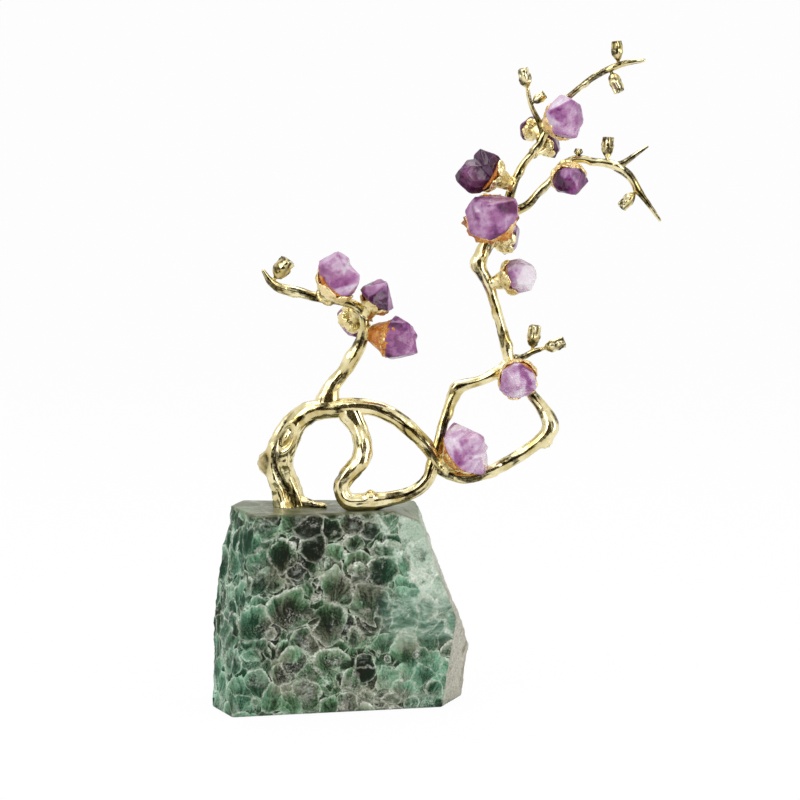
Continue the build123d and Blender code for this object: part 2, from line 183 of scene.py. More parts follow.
class Nodes:
    """A node tree, with short calls to add and join its nodes."""

    def __init__(self, tree):
        self.tree = tree

    def node(self, kind, settings, inputs):
        made = self.tree.nodes.new(kind)
        for key, value in settings.items():
            setattr(made, key, value)
        for key, value in inputs.items():
            self.feed(made.inputs[key], value)
        return made

    def feed(self, target, value):
        if isinstance(value, bpy.types.NodeSocket):
            self.tree.links.new(value, target)
        else:
            target.default_value = value

    def math(self, operation, a, b=0.0, clamp=False):
        made = self.node("ShaderNodeMath", {"operation": operation, "use_clamp": clamp}, {0: a, 1: b})
        return made.outputs[0]

    def times(self, a, b, clamp=False):
        return self.math("MULTIPLY", a, b, clamp)

    def plus(self, a, b, clamp=False):
        return self.math("ADD", a, b, clamp)

    def seen(self):
        """1 for the camera's own rays and for what metal and glass show of the stage, and 0 for light."""
        path = self.node("ShaderNodeLightPath", {}, {}).outputs
        straight = self.math("MAXIMUM", path["Is Camera Ray"], path["Is Glossy Ray"])
        return self.math("MAXIMUM", straight, path["Is Transmission Ray"])

    def blend(self, share, a, b):
        """A share of one shader over another."""
        return self.node("ShaderNodeMixShader", {}, {0: share, 1: a, 2: b}).outputs[0]


class Recipe(Nodes):
    """A material's nodes, with calls for the patterns that the materials share."""

    def __init__(self, name):
        self.material = bpy.data.materials.new(name)
        self.material.use_nodes = True
        super().__init__(self.material.node_tree)
        self.shader = self.tree.nodes["Principled BSDF"]
        self.place = self.node("ShaderNodeTexCoord", {}, {}).outputs["Object"]

    def noise(self, size, detail=3.0, rough=0.55, place=None):
        made = self.node("ShaderNodeTexNoise", {}, {
            "Vector": place or self.place, "Scale": 1 / size, "Detail": detail, "Roughness": rough})
        return made.outputs[0]

    def cells(self, size, feature="F1", place=None):
        made = self.node("ShaderNodeTexVoronoi", {"feature": feature}, {
            "Vector": place or self.place, "Scale": 1 / size})
        return made.outputs

    def span(self, value, low, high, to_low=0.0, to_high=1.0):
        """A value from one range carried to another, and held at its ends."""
        made = self.node("ShaderNodeMapRange", {"interpolation_type": "SMOOTHSTEP"}, {
            0: value, 1: low, 2: high, 3: to_low, 4: to_high})
        return made.outputs[0]

    def mix(self, share, a, b, blend="MIX"):
        made = self.node("ShaderNodeMix", {"data_type": "RGBA", "blend_type": blend}, {0: share})
        self.feed(made.inputs[6], a)
        self.feed(made.inputs[7], b)
        return made.outputs[2]

    def ramp(self, value, stops):
        made = self.node("ShaderNodeValToRGB", {}, {0: value})
        band = made.color_ramp
        while len(band.elements) < len(stops):
            band.elements.new(0.5)
        for element, (spot, colour) in zip(band.elements, stops):
            element.position = spot
            element.color = colour
        return made.outputs[0]

    def vector(self, operation, a, b):
        return self.node("ShaderNodeVectorMath", {"operation": operation}, {0: a, 1: b}).outputs[0]

    def pushed(self, place, size, amount):
        """A place moved about by noise."""
        push = self.node("ShaderNodeTexNoise", {}, {"Vector": place, "Scale": 1 / size, "Detail": 2.0})
        middle = self.vector("SUBTRACT", push.outputs[1], (0.5,) * 3)
        return self.vector("ADD", place, self.vector("MULTIPLY", middle, (amount,) * 3))

    def warped(self, size, amount, scale=(1, 1, 1), near=None):
        """The object's own place, moved about by noise, again by finer noise where asked, and stretched."""
        moved = self.pushed(self.place, size, amount)
        if near:
            moved = self.pushed(moved, *near)
        return self.vector("MULTIPLY", moved, scale)

    def attribute(self, name):
        return self.node("ShaderNodeAttribute", {"attribute_name": name}, {}).outputs["Fac"]

    def split(self, vector):
        parts = self.node("ShaderNodeSeparateXYZ", {}, {0: vector})
        return parts.outputs[0], parts.outputs[1], parts.outputs[2]

    def bump(self, height, strength, distance, under=None):
        made = self.node("ShaderNodeBump", {}, {"Height": height, "Strength": strength, "Distance": distance})
        if under:
            self.feed(made.inputs["Normal"], under)
        return made.outputs[0]

    def set(self, **inputs):
        names = {
            "colour": "Base Color", "rough": "Roughness", "metal": "Metallic", "normal": "Normal",
            "through": "Transmission Weight", "bend": "IOR", "specular": "Specular IOR Level"}
        for key, value in inputs.items():
            self.feed(self.shader.inputs[names[key]], value)
        return self.material


def rgb(red, green, blue):
    """A colour of the photo's kind, 0 to 255, as the shader takes it."""
    def level(value):
        share = value / 255
        return share / 12.92 if share <= 0.04045 else ((share + 0.055) / 1.055) ** 2.4
    return level(red), level(green), level(blue), 1.0


# Dark for real patina in hollows, and also for painted dark reflections and painted shade
PATINA_AND_DARK_REFLECTION = rgb(32, 23, 5)
AMBER = rgb(188, 94, 14)


def brass(name, light, dark, rough, grain):
    """Cast brass: pale gold, dark patina in the hollows, painted dark reflections and painted shade in the
    same dark colour, a casting grain, and amber where resin ran over.
    """
    made = Recipe(name)
    tarnish = made.span(made.noise(9 * MM, 4), 0.35, 0.7)
    speck = made.noise(1.3 * MM, 4, 0.7)
    colour = made.mix(tarnish, light, dark)
    colour = made.mix(made.span(speck, 0.5, 0.72, 0, 0.55), colour, dark)
    # Real patina in recesses and crevices, plus painted dark reflections in streaks on branches and buds, and
    # painted shade inside the buds' open tops
    patina_and_dark_reflection = made.times(made.attribute("patina_and_dark_reflection"), made.span(speck, 0.3, 0.6, 0.55, 1.0))
    colour = made.mix(patina_and_dark_reflection, colour, PATINA_AND_DARK_REFLECTION)
    drips = made.span(made.noise(2.4 * MM, 3), 0.36, 0.56)
    amber = made.times(made.attribute("amber"), drips, True)
    colour = made.mix(amber, colour, made.mix(speck, AMBER, rgb(244, 206, 120)))
    wear = made.span(made.noise(5 * MM, 3), 0.3, 0.7, rough * 0.6, rough * 1.6)
    metal = made.math("SUBTRACT", 1.0, made.times(amber, 0.6))
    fine = made.bump(made.noise(0.8 * MM, 3, 0.6), grain, 0.12 * MM)
    pitted = made.bump(made.noise(2.6 * MM, 4, 0.6), grain, 0.4 * MM, fine)
    return made.set(colour=colour, rough=wear, metal=metal, normal=pitted)


def amethyst_recipe():
    """Raw amethyst: violet with clouds and dark spots, painted light and shade that differs from facet to
    facet, painted glints on a few facets, and clearer tips.
    """
    made = Recipe("amethyst")
    tone = made.attribute("tone")
    rise = made.attribute("rise")
    clear = made.attribute("clear")
    painted_facet_light = made.attribute("painted_facet_light")
    cloud = made.noise(6 * MM, 4, 0.6, made.warped(8 * MM, 5 * MM))
    spots = made.span(made.noise(3.2 * MM, 3, 0.65), 0.55, 0.72)
    depth = made.plus(tone, made.span(cloud, 0.3, 0.7, -0.2, 0.2))
    # Painted light and shade per facet: each flat face gets its own random brightness, as lamps would light
    # the facets differently
    depth = made.plus(depth, made.times(painted_facet_light, 0.36))
    depth = made.plus(depth, made.times(spots, 0.2))
    depth = made.plus(depth, made.span(rise, 0.25, 1.0, 0.14, -0.12), True)
    colour = made.ramp(depth, [
        (0.0, rgb(236, 222, 236)), (0.25, rgb(208, 174, 206)), (0.5, rgb(170, 112, 164)),
        (0.75, rgb(118, 50, 114)), (1.0, rgb(62, 12, 56))])
    pink = made.span(made.noise(9 * MM, 2), 0.42, 0.66, 0, 0.6)
    colour = made.mix(pink, colour, made.mix(0.4, colour, rgb(190, 124, 162)))
    tip = made.plus(rise, made.span(cloud, 0.3, 0.7, -0.2, 0.2))
    tip = made.times(made.span(tip, 0.3, 0.75), clear)
    clearest = made.mix(made.span(painted_facet_light, -0.6, 0.8), rgb(246, 240, 244), rgb(178, 150, 172))
    colour = made.mix(tip, colour, clearest)
    # Painted glints: the lightest painted facets of the paler stones are mixed towards lavender-white, as
    # painted reflections of the lamps
    glint = made.times(made.span(painted_facet_light, -0.4, -0.75), made.span(tone, 0.95, 0.4, 0.08, 0.3))
    colour = made.mix(glint, colour, made.mix(cloud, rgb(196, 184, 208), rgb(236, 230, 240)))
    frost = made.span(made.noise(4 * MM, 4), 0.35, 0.7, 0.04, 0.18)
    steps = made.bump(made.noise(1.6 * MM, 4, 0.6, made.warped(6 * MM, 3 * MM, (1, 1, 2.5))), 0.1, 0.3 * MM)
    return made.set(colour=colour, rough=frost, through=0.2, bend=1.54, specular=0.36, normal=steps)


def resin_recipe():
    """Amber bonding resin with the grit that it was pressed into."""
    made = Recipe("amber_resin")
    grains = made.cells(1.3 * MM)
    colour = made.ramp(made.noise(2.6 * MM, 3), [
        (0.25, rgb(154, 72, 8)), (0.5, rgb(206, 120, 26)), (0.75, rgb(238, 184, 88))])
    beads = made.bump(grains["Distance"], 0.7, 0.6 * MM)
    return made.set(colour=colour, rough=0.16, through=0.2, bend=1.5, normal=beads)


def stone_recipe():
    """Polished green stone: fans of green crystal, dark in their hearts, in a crumbly net of pale rims."""
    made = Recipe("green_stone")
    broken = made.attribute("broken")
    top = made.attribute("top")
    grit = made.noise(1.0 * MM, 4, 0.75)
    across_x, _, height = made.split(made.place)
    place = made.warped(13 * MM, 8 * MM, near=(3 * MM, 2.2 * MM))

    def fans(size, least, most):
        """Domed fans of a size: how light they are, how pale their rims are, and where they are at all."""
        cell = made.cells(size, "F1", place)
        edge = made.cells(size, "DISTANCE_TO_EDGE", place)["Distance"]
        side, _, up = made.split(made.vector("SUBTRACT", place, cell["Position"]))
        up = made.math("DIVIDE", up, size)
        side = made.math("DIVIDE", side, size)
        lot = made.split(cell["Color"])[0]
        near = made.math("DIVIDE", cell["Distance"], made.span(lot, 0.1, 0.9, least, most))
        there = made.span(near, 1.0, 0.95)
        angle = made.math("ARCTAN2", side, made.plus(up, 0.6))
        spread = made.node("ShaderNodeCombineXYZ", {}, {
            0: made.times(angle, 7.0), 1: made.times(up, 1.3),
            2: made.times(lot, 20.0)})
        fibre = made.noise(1.0, 4, 0.6, spread.outputs[0])
        tone = made.plus(made.times(made.math("POWER", near, 2.4), 0.58), -0.02)
        tone = made.plus(tone, made.times(up, 0.26))
        tone = made.plus(tone, made.span(fibre, 0.25, 0.75, -0.22, 0.22))
        tone = made.plus(tone, made.times(made.math("SUBTRACT", lot, 0.5), 0.45))
        rim = made.times(made.span(near, 0.8, 0.97), made.span(up, -0.3, 0.2, 0.55, 1.0))
        seam = made.math("SUBTRACT", 1.0, made.math("DIVIDE", edge, 0.06), True)
        return tone, made.math("MAXIMUM", rim, made.times(seam, 0.6)), there

    def over(under, upper, share):
        """One value laid over another."""
        return made.plus(under, made.times(made.math("SUBTRACT", upper, under), share))

    tone = made.span(grit, 0.3, 0.7, 0.4, 0.7)
    vein = made.span(grit, 0.4, 0.66, 0.15, 0.75)
    crowd = made.plus(made.noise(22 * MM, 2), made.span(height, 10 * MM, 50 * MM, 0.14, -0.05))
    spread_out = made.span(crowd, 0.56, 0.5)
    for size, least, most, share in (
            (6.4 * MM, 0.6, 1.0, 1.0), (10.4 * MM, 0.5, 0.8, 1.0), (15.5 * MM, 0.5, 0.8, spread_out)):
        fan_tone, fan_vein, there = fans(size, least, most)
        there = made.times(there, share)
        tone = over(tone, fan_tone, there)
        vein = over(vein, fan_vein, there)
    heart = made.span(across_x, -34 * MM, -12 * MM)
    heart = made.times(heart, made.span(across_x, 26 * MM, 8 * MM))
    heart = made.times(heart, made.span(height, 24 * MM, 40 * MM, 0.0, -0.1))
    tone = made.plus(tone, heart)
    tone = made.plus(tone, made.span(height, 24 * MM, 8 * MM, 0.0, 0.1))
    tone = made.plus(tone, made.span(grit, 0.3, 0.7, -0.12, 0.12), True)
    green = made.ramp(tone, [
        (0.0, rgb(10, 20, 6)), (0.2, rgb(34, 54, 30)), (0.45, rgb(80, 112, 80)), (0.7, rgb(122, 158, 128)),
        (1.0, rgb(164, 186, 168))])
    teal = made.plus(made.span(across_x, -22 * MM, -48 * MM), made.span(across_x, 8 * MM, 34 * MM))
    teal = made.times(teal, made.span(made.noise(20 * MM, 2), 0.3, 0.54), True)
    sea_green = made.mix(tone, rgb(22, 68, 44), rgb(160, 216, 184))
    green = made.mix(made.times(teal, 0.75), green, sea_green)
    brown = made.span(made.noise(17 * MM, 3), 0.44, 0.62, 0, 0.75)
    brown = made.times(brown, made.span(across_x, -46 * MM, -26 * MM, 0.25, 1.0))
    green = made.mix(brown, green, made.mix(tone, rgb(26, 28, 14), rgb(170, 170, 146)))
    streak = made.noise(2.2 * MM, 4, 0.6, made.warped(12 * MM, 6 * MM, (0.2, 1, 1)))
    banded = made.times(made.span(across_x, 12 * MM, 30 * MM), made.span(height, 58 * MM, 46 * MM))
    banded = made.times(banded, made.span(height, 26 * MM, 36 * MM))
    green = made.mix(made.times(banded, 0.7), green, made.ramp(streak, [
        (0.3, rgb(50, 80, 64)), (0.5, rgb(112, 144, 124)), (0.7, rgb(190, 206, 192))]))
    bank = made.plus(across_x, made.times(height, 0.4))
    bank = made.plus(bank, made.span(made.noise(9 * MM, 4), 0.3, 0.7, -9 * MM, 9 * MM))
    mint = made.times(made.span(bank, 54 * MM, 63 * MM), made.span(height, 42 * MM, 56 * MM))
    mint = made.times(mint, made.span(grit, 0.3, 0.6, 0.65, 1.0))
    green = made.mix(mint, green, made.mix(tone, rgb(166, 186, 166), rgb(224, 234, 224)))
    mist = made.span(made.noise(11 * MM, 5, 0.7), 0.5, 0.75)
    mist = made.times(mist, made.span(streak, 0.35, 0.65))
    green = made.mix(made.times(mist, 0.55), green, rgb(190, 200, 186))
    vein = made.times(vein, made.span(grit, 0.34, 0.6, 0.2, 1.0))
    vein = made.times(vein, made.span(made.noise(8 * MM, 2), 0.3, 0.6, 0.5, 1.0))
    crumbs = made.span(made.noise(12 * MM, 3), 0.52, 0.66)
    crumbs = made.times(crumbs, made.span(grit, 0.46, 0.66, 0, 0.42))
    pale = made.mix(made.span(made.noise(3 * MM, 3), 0.3, 0.7), rgb(162, 160, 142), rgb(240, 240, 230))
    colour = made.mix(made.math("MAXIMUM", vein, crumbs), green, pale)
    sheet = made.noise(3.5 * MM, 5, 0.6, made.warped(14 * MM, 8 * MM, (0.3, 1, 1)))
    upper = made.ramp(sheet, [
        (0.25, rgb(58, 60, 34)), (0.5, rgb(98, 100, 70)), (0.68, rgb(138, 138, 106)),
        (0.85, rgb(196, 196, 172))])
    colour = made.mix(made.times(top, 0.66), colour, upper)
    raw = made.times(broken, made.span(across_x, 30 * MM, 52 * MM))
    sand = made.ramp(grit, [(0.3, rgb(132, 128, 112)), (0.5, rgb(188, 184, 170)), (0.7, rgb(218, 216, 204))])
    sand = made.mix(made.span(made.noise(7 * MM, 4, 0.6), 0.5, 0.68, 0, 0.6), sand, rgb(112, 96, 72))
    colour = made.mix(made.times(raw, 0.85), colour, sand)
    rough = made.plus(made.span(grit, 0.3, 0.7, 0.26, 0.42), made.times(broken, 0.35))
    bits = made.bump(made.noise(1.8 * MM, 5, 0.65), 0.12, 0.3 * MM)
    return made.set(colour=colour, rough=rough, specular=0.12, normal=bits)


cast_brass = brass("cast_brass", rgb(243, 232, 187), rgb(191, 171, 107), 0.14, 0.22)
bud_brass = brass("bud_brass", rgb(243, 232, 187), rgb(188, 168, 102), 0.13, 0.2)
cup_brass = brass("cup_brass", rgb(242, 230, 182), rgb(206, 180, 110), 0.24, 0.5)
amethyst = amethyst_recipe()
amber_resin = resin_recipe()
green_stone = stone_recipe()
steel = Recipe("steel_anchor")
steel.set(
    colour=steel.ramp(steel.noise(2 * MM, 3), [(0.3, rgb(120, 120, 122)), (0.7, rgb(168, 168, 170))]),
    rough=0.35, metal=1.0)


# Branches

RING_STEP = 0.55 * MM
# A buried end's rings: (millimetres past the end, share of the radius)
TENON = ((0.5, 0.93), (1.2, 0.8), (2.0, 0.5))
# Radii, and the noise level from which a branch of that radius gets painted dark reflections, in streaks of
# patina colour
DARK_REFLECTION_SIZES = np.array((1.2, 2.6, 4.0, 6.0)) * MM
DARK_REFLECTION_FROM = (-0.16, 0.12, 0.5, 0.3)


class Branch:
    """A branch's centre line and radius, as its solid has them.

    points are (x, y, height over the stone, swell) in millimetres. root and tip are (other branch, share of
    its length): a side joint under 1, a butt joint at 1.
    """

    def __init__(self, radius, points, root=None, tip=None, bark=0.4):
        places = [np.array((x, y, h)) * MM + (0, 0, STONE_TOP) for x, y, h, _ in points]
        self.radii = [radius * p[3] * MM for p in points]
        self.root = root
        self.tip = tip
        self.bark = bark
        self.carries_on = False
        self.side_rooted = root is not None and root[1] < 1
        start = np.array((0.0, 0.0, 1.0))
        if self.side_rooted:
            start = unit(places[0] - root[0].at(root[1]))
        elif root:
            root[0].carries_on = True
            start = root[0].along(1)
            places.insert(0, root[0].at(1))
            self.radii.insert(0, root[0].radii[-1])
        end = unit((tip[0].at(tip[1]) if tip else 2 * places[-1] - places[-2]) - places[-1])
        self.fit(np.array(places), start, end)

    def fit(self, p, start, end):
        """A smooth cubic line through the points with set directions at its ends."""
        gaps = np.linalg.norm(np.diff(p, axis=0), axis=1)
        slope = np.diff(p, axis=0) / gaps[:, None]
        count = len(p)
        left = np.zeros((count, count))
        right = np.zeros((count, 3))
        left[0, :2] = 2 * gaps[0], gaps[0]
        left[-1, -2:] = gaps[-1], 2 * gaps[-1]
        right[0] = 6 * (slope[0] - start)
        right[-1] = 6 * (end - slope[-1])
        for i in range(1, count - 1):
            left[i, i - 1:i + 2] = gaps[i - 1], 2 * (gaps[i - 1] + gaps[i]), gaps[i]
            right[i] = 6 * (slope[i] - slope[i - 1])
        bend = np.linalg.solve(left, right)
        runs = []
        for i, gap in enumerate(gaps):
            u = np.linspace(0, gap, 60, endpoint=False)[:, None]
            first = slope[i] - gap * (2 * bend[i] + bend[i + 1]) / 6
            runs.append(p[i] + first * u + bend[i] / 2 * u**2 + (bend[i + 1] - bend[i]) / (6 * gap) * u**3)
        self.line = np.vstack(runs + [p[-1:]])
        steps = np.concatenate(([0], np.cumsum(np.linalg.norm(np.diff(self.line, axis=0), axis=1))))
        self.length = steps[-1]
        self.shares = steps / self.length
        self.marks = np.concatenate(([0], np.cumsum(gaps))) / gaps.sum()

    def at(self, share):
        return np.array([np.interp(share, self.shares, self.line[:, k]) for k in range(3)])

    def along(self, share):
        low, high = max(share - 0.004, 0), min(share + 0.004, 1)
        return unit(self.at(high) - self.at(low))

    def radius_at(self, share):
        return float(np.interp(share, self.marks, self.radii))


def stations(branch):
    """Rings down a branch, from inside its host to its rounded or buried end.

    Each is (point, direction, radius, share, swell along the host, the host's direction).
    """
    found = []
    count = max(int(branch.length / RING_STEP), 12)
    cap = 0 if branch.tip or branch.carries_on else branch.radii[-1] / branch.length

    def swell(joint, distance, radius):
        """How far a branch widens along its host, at a distance from the host's centre line."""
        return 0.7 * math.exp(-max(distance - joint[0].radius_at(joint[1]), 0) / (1.5 * radius))

    def buried(joint, start, radius, share):
        """A run from within the host out to the branch's end."""
        host, spot = joint
        middle = host.at(spot)
        outward = unit(start - middle)
        gap = np.linalg.norm(start - middle)
        skin = host.radius_at(spot)
        run = []
        for d in np.linspace(0.15 * skin, gap, 14, endpoint=False):
            size = min(radius, 0.9 * skin) if d < 0.4 * skin else radius
            wider = swell(joint, d, radius)
            run.append((middle + outward * d, outward, size, share, wider, host.along(spot)))
        return run

    def gap_to(joint, share):
        """From one of the branch's ends to its host's centre line."""
        return np.linalg.norm(branch.at(share) - joint[0].at(joint[1]))

    ends = []
    if branch.side_rooted:
        found += buried(branch.root, branch.at(0), branch.radii[0], 0.0)
        ends.append((branch.root, gap_to(branch.root, 0), 0, branch.radii[0]))
    elif branch.root:
        first, way = branch.at(0), branch.along(0)
        found += [(first - way * d * MM, way, branch.radii[0] * k, 0.0, 0, way) for d, k in reversed(TENON)]
    if branch.tip:
        ends.append((branch.tip, gap_to(branch.tip, 1), 1, branch.radii[-1]))
    for share in np.linspace(0, 1 - cap, count):
        way = branch.along(share)
        wider, host_way = 0, way
        for joint, gap, end, radius in ends:
            here = swell(joint, gap + abs(share - end) * branch.length, radius)
            if here > wider:
                wider, host_way = here, joint[0].along(joint[1])
        found.append((branch.at(share), way, branch.radius_at(share), share, wider, host_way))
    if branch.tip:
        out = buried(branch.tip, branch.at(1), branch.radii[-1], 1.0)
        found += [(p, -way, r, s, wider, along) for p, way, r, s, wider, along in reversed(out)]
    elif branch.carries_on:
        last, way = branch.at(1), branch.along(1)
        found += [(last + way * d * MM, way, branch.radii[-1] * k, 1.0, 0, way) for d, k in TENON]
    else:
        for turn in np.linspace(0.2, 1.45, 6):
            share = 1 - cap + cap * math.sin(turn)
            way = branch.along(share)
            found.append((branch.at(share), way, branch.radius_at(share) * math.cos(turn), share, 0, way))
    return found


def branch_piece(name, branch, knots=(), groove=(), foot=False):
    """The branch's cast skin: lumps, flowing bark folds, knots and grain over the solid's shape."""
    sides = 72 if branch.radii[0] > 4 * MM else 40
    turn = np.linspace(0, 2 * math.pi, sides, endpoint=False)
    run = stations(branch)
    middles, outs, sizes, shares, turns = [], [], [], [], []
    for place, way, radius, share, swell, host_way in run:
        front, side = across(way)
        out = np.cos(turn)[:, None] * front + np.sin(turn)[:, None] * side
        wide = 1 + swell * (out @ host_way) ** 2
        middles.append(np.repeat(place[None], sides, axis=0))
        outs.append(out)
        sizes.append(radius * wide)
        shares.append(np.full(sides, share))
        turns.append(turn)
    middles, outs = np.vstack(middles), np.vstack(outs)
    sizes, shares, turns = map(np.concatenate, (sizes, shares, turns))
    skin = middles + outs * sizes[:, None]
    distance = shares * branch.length
    bark = branch.bark * (np.clip(1.25 - 2.2 * shares, 0.3, 1) if foot else 1.0)
    swirl = turns + 12 * distance
    folded = np.column_stack((np.cos(swirl) * 2.4, np.sin(swirl) * 2.4, distance / (20 * MM)))
    fold = 1 - 2 * np.abs(noise(folded, 1.0, 3))
    relief = sizes * (0.085 * noise(skin, 9 * MM, 1) + 0.05 * noise(skin, 3.4 * MM, 2))
    relief += bark * sizes * 0.16 * (fold - 0.5)
    relief += 0.05 * MM * noise(skin, 0.9 * MM, 4)
    bosses = np.zeros(len(skin))
    # Share of the painted dark reflections that a point keeps: knots take it away, so that they stay bright
    # like lit metal
    reflection_keep = np.ones(len(skin))
    for share, angle, height, width, tall, ringed in knots:
        gap = (turns - math.radians(angle) + math.pi) % (2 * math.pi) - math.pi
        reach = np.hypot((shares - share) * branch.length / (tall * MM), gap * sizes / (width * MM))
        if ringed:
            relief *= np.clip(reach - 0.6, 0, 1)
            rim = np.exp(-((reach - 1) / 0.25) ** 2) - 0.9 * np.exp(-((reach - 0.58) / 0.2) ** 2)
            bosses += height * MM * (rim + np.exp(-(reach / 0.35) ** 2))
        else:
            bosses += height * MM * np.exp(-reach**3)
            reflection_keep = np.minimum(reflection_keep, np.clip(reach - 0.5, 0, 1))
    relief += bosses
    if groove:
        spots, angles, depths = np.transpose(groove)
        gap = (turns - np.radians(np.interp(shares, spots, angles)) + math.pi) % (2 * math.pi) - math.pi
        deep = np.interp(shares, spots, depths, 0, 0) * MM
        relief -= deep * np.exp(-(gap * sizes / (1.7 * MM)) ** 2)
    if foot:
        rise = np.maximum(skin[:, 2] - STONE_TOP, 0)
        toes = 0.6 + 0.4 * np.cos(3 * turns + 0.6)
        relief += sizes * 0.3 * toes * np.exp(-rise / (2.6 * MM))
    points = middles + outs * (sizes + relief)[:, None]
    points[:, 2] = np.maximum(points[:, 2], STONE_TOP - 0.15 * MM)
    piece = add_mesh(name + "_skin", points, ring_faces(len(run), sides))
    # Painted dark reflections: noise streaks down the branch in patina colour, more of them on thin twigs;
    # the recesses of the relief get real patina
    patch = np.interp(branch.radii[0], (2 * MM, 4 * MM), (0.8, 1.3))
    around = np.column_stack((patch * np.cos(turns), patch * np.sin(turns), distance / (8 * MM)))
    streaks = noise(around, 1.0, 17)
    dark_reflection_mask = reflection_keep * np.clip((streaks - np.interp(sizes, DARK_REFLECTION_SIZES, DARK_REFLECTION_FROM)) / 0.12, 0, 0.95)
    paint_points(piece, "patina_and_dark_reflection", np.maximum(dark_reflection_mask, np.clip((-relief / sizes - 0.06) / 0.14, 0, 1)))
    finish_piece(piece, "cast_brass", cast_brass, name)


TRUNK, LIMB, TWIG = 6.0, 2.7, 1.8
REST_FLAT = 0.5


def lying(x, y, radius, swell, lift=0.0):
    """A branch's point where it lies on the stone, or a lift above that."""
    return x, y, radius * swell - REST_FLAT + lift, swell


trunk_arch = Branch(TRUNK, [
    (-22, 7, -4, 1.08), (-22.5, 7, 1, 1.08), (-25, 7, 10, 1.0), (-27.5, 6, 19.5, 1.06), (-25, 5, 28.5, 1.0),
    (-20.5, 4, 37, 0.93), (-12.5, 3, 43, 0.79), (-3.5, 2, 44.5, 0.74), (5.5, 1, 45.5, 0.67),
    (16, 0, 44.5, 0.58),
    (26.5, -1, 39.5, 0.59), (35, -2, 32, 0.56), (41.5, -3, 24, 0.53), (46, -3.5, 17.5, 0.48),
    (51, -4, 15, 0.45)], bark=1.0)
root_spur = Branch(TWIG, [
    lying(-15, 3.5, TWIG, 1.1), lying(-11, 2, TWIG, 0.9), lying(-6, 0.5, TWIG, 0.6)],
    root=(trunk_arch, 0.042))
s_limb = Branch(LIMB, [
    (7.5, -1, 37.5, 1.3), (10, -4, 29.5, 1.5), (9, -6, 22.5, 1.6), (4, -7, 16.5, 1.45),
    (0.5, -7.5, 10.5, 1.4),
    lying(2.5, -7.5, LIMB, 1.4, 1.6), lying(9, -7, LIMB, 1.45), lying(14.5, -6.5, LIMB, 1.5, 0.2),
    (22.5, -6, 5, 1.15), (32, -5, 7.7, 1.05), (37, -4.5, 11.2, 1.0), (40, -4, 15.5, 0.92)],
    root=(trunk_arch, 0.536), tip=(trunk_arch, 0.91), bark=0.7)
loop_sweep = Branch(LIMB, [
    (57.5, -4.5, 14.5, 1.0), (67.5, -5, 17.5, 0.96), (78, -5, 23, 1.0), (87.5, -4, 29.5, 1.05),
    (93.5, -3, 37, 1.4), (91.5, -1, 42.5, 1.16), (88, 1, 47.5, 0.93),
    (83.5, 2, 53, 0.86)], root=(trunk_arch, 1))
upper_limb = Branch(LIMB, [
    (77.5, 3, 60.5, 0.96), (74, 3, 72, 0.92), (70.5, 2, 85.5, 0.83), (68, 2, 94, 0.86), (65, 2, 102, 0.94),
    (62, 2, 108.5, 1.22), (64, 3, 115.5, 1.22), (69, 4, 123.5, 1.07), (73.5, 5, 131.5, 1.0),
    (75, 5, 137.5, 0.83)],
    root=(loop_sweep, 1))
loop_riser = Branch(LIMB, [
    (44, -2, 29, 0.84), (45.5, 0, 36, 0.86), (48, 1, 43.5, 0.86), (50.5, 2, 50, 1.05), (53.5, 2, 54, 1.02),
    (59, 2, 56, 0.86), (66, 2, 58.5, 0.86),
    (71, 2.5, 61, 0.8)], root=(trunk_arch, 0.905), tip=(upper_limb, 0.14))
loop_spur = Branch(TWIG, [
    (80.5, 4.5, 67, 0.75), (85.5, 4, 69.5, 0.7), (90, 3.5, 71, 0.55)], root=(upper_limb, 0.17))
top_twig = Branch(TWIG, [
    (77, 5, 144, 1.04), (83, 6, 155, 0.89), (87, 6, 159.5, 0.92), (90, 6, 165, 0.97), (92.5, 6, 171, 0.89),
    (96.5, 5, 177.5, 0.79), (105.5, 3, 186.5, 0.72), (115.5, 1, 193.5, 0.77), (121, 0, 196, 0.84),
    (125, -1, 197.5, 0.74), (134.5, -4, 199, 0.4)], root=(upper_limb, 1))
side_twig = Branch(TWIG, [
    (88.5, 5.5, 171, 0.7), (84.5, 4, 179.5, 0.6), (83, 3, 186, 0.5)], root=(top_twig, 0.36))
right_twig = Branch(TWIG, [
    (81.5, 4, 134, 1.1), (87.5, 3, 140, 0.97), (93.5, 2, 146, 0.89), (99.5, 1, 153, 0.99),
    (105.5, 0, 155.5, 0.99),
    (112, -1, 154.5, 0.89), (119, -2, 153.5, 1.04), (123.5, -2, 151.5, 1.19), (128.5, -3, 147.5, 1.09),
    (131.5, -4, 142.5, 0.99), (135, -5, 137.5, 0.69), (141.5, -7, 128.5, 0.34)], root=(upper_limb, 0.915))
right_spur = Branch(TWIG, [
    (127, -2.5, 155, 0.68), (129, -3, 156.5, 0.64), (136, -4, 161.5, 0.34)], root=(right_twig, 0.62))
left_branch = Branch(LIMB, [
    (-4.5, 3, 52, 1.3), (1, 3, 60, 1.16), (6.5, 2, 68.5, 1.19), (10, 2, 76, 1.02), (11, 1, 82.5, 0.87),
    (9.5, 1, 88, 0.87), (3.5, 0, 92, 0.78), (-4.5, 0, 93.5, 0.76), (-12.5, -1, 95, 0.76),
    (-19.5, -1, 97, 0.87),
    (-26, -2, 98.5, 0.86), (-31, -3, 102, 0.63), (-34, -4, 107, 0.28)], root=(trunk_arch, 0.459))

